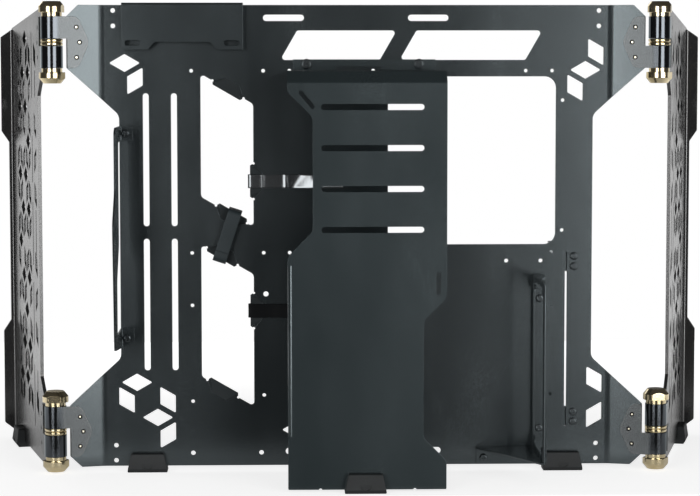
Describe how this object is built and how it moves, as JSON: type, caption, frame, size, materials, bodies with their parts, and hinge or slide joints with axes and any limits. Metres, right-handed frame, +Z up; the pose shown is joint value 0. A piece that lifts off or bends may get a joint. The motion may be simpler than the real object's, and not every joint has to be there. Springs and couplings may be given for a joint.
{
  "type": "open air test bench",
  "caption": "Folded sheet frame that holds an open computer board, with a rear cover, a power supply ring and hinged lattice wings.",
  "frame": {"origin": "middle of the whole box in X and Y, on the level the feet stand on", "axes": "+X to the right seen from the cable side, +Y towards the board side, +Z up"},
  "size_m": [0.6596, 0.3082, 0.4082],
  "materials": {
    "plate_paint": "fine matt powder coat, dark blue-grey",
    "cover_paint": "fine matt powder coat, dark blue-grey",
    "wing_paint": "fine matt powder coat, dark blue-grey",
    "bracket_paint": "fine matt powder coat, dark blue-grey",
    "hinge_black": "smooth satin black",
    "hinge_brass": "bright pale brass",
    "rivet_brass": "satin pale brass",
    "pin_steel": "ground steel",
    "screw_black": "black oxide",
    "foot_rubber": "matt black rubber",
    "strap_fabric": "black hook-and-loop strap"
  },
  "bodies": {
    "frame": {"card_bracket": "bracket_paint", "card_bracket_screws": "screw_black", "cover_foot": "foot_rubber", "cover_screws": "screw_black", "frame_leaf_left_bottom": "hinge_black", "frame_leaf_left_top": "hinge_black", "frame_leaf_right_bottom": "hinge_black", "frame_leaf_right_top": "hinge_black", "frame_leaf_rivets": "rivet_brass", "hinge_pin_left_bottom": "pin_steel", "hinge_pin_left_top": "pin_steel", "hinge_pin_right_bottom": "pin_steel", "hinge_pin_right_top": "pin_steel", "hinge_ring_left_bottom": "hinge_brass", "hinge_ring_left_top": "hinge_brass", "hinge_ring_right_bottom": "hinge_brass", "hinge_ring_right_top": "hinge_brass", "left_main_foot": "foot_rubber", "lower_cap_left_bottom": "hinge_brass", "lower_cap_left_top": "hinge_brass", "lower_cap_right_bottom": "hinge_brass", "lower_cap_right_top": "hinge_brass", "lower_strap": "strap_fabric", "main_plate": "plate_paint", "middle_strap": "strap_fabric", "rear_cover": "cover_paint", "right_main_foot": "foot_rubber", "side_bracket": "bracket_paint", "side_bracket_screws": "screw_black", "supply_bracket": "bracket_paint", "supply_bracket_screws": "screw_black", "top_bracket": "bracket_paint", "upper_cap_left_bottom": "hinge_brass", "upper_cap_left_top": "hinge_brass", "upper_cap_right_bottom": "hinge_brass", "upper_cap_right_top": "hinge_brass", "upper_strap": "strap_fabric"},
    "left_wing": {"left_wing": "wing_paint", "left_wing_foot": "foot_rubber", "left_wing_rivets": "rivet_brass", "wing_leaf_left_bottom": "hinge_black", "wing_leaf_left_top": "hinge_black"},
    "right_wing": {"right_wing": "wing_paint", "right_wing_foot": "foot_rubber", "right_wing_rivets": "rivet_brass", "wing_leaf_right_bottom": "hinge_black", "wing_leaf_right_top": "hinge_black"}
  },
  "joints": [
    {"name": "left_wing_swing", "type": "hinge", "parent": "frame", "child": "left_wing", "pos_m": [-0.26171, -0.04344, 0.205], "axis": [0, 0, 1], "range_deg": [-35, 90]},
    {"name": "right_wing_swing", "type": "hinge", "parent": "frame", "child": "right_wing", "pos_m": [0.26171, -0.04344, 0.205], "axis": [0, 0, 1], "range_deg": [-90, 35]}
  ]
}
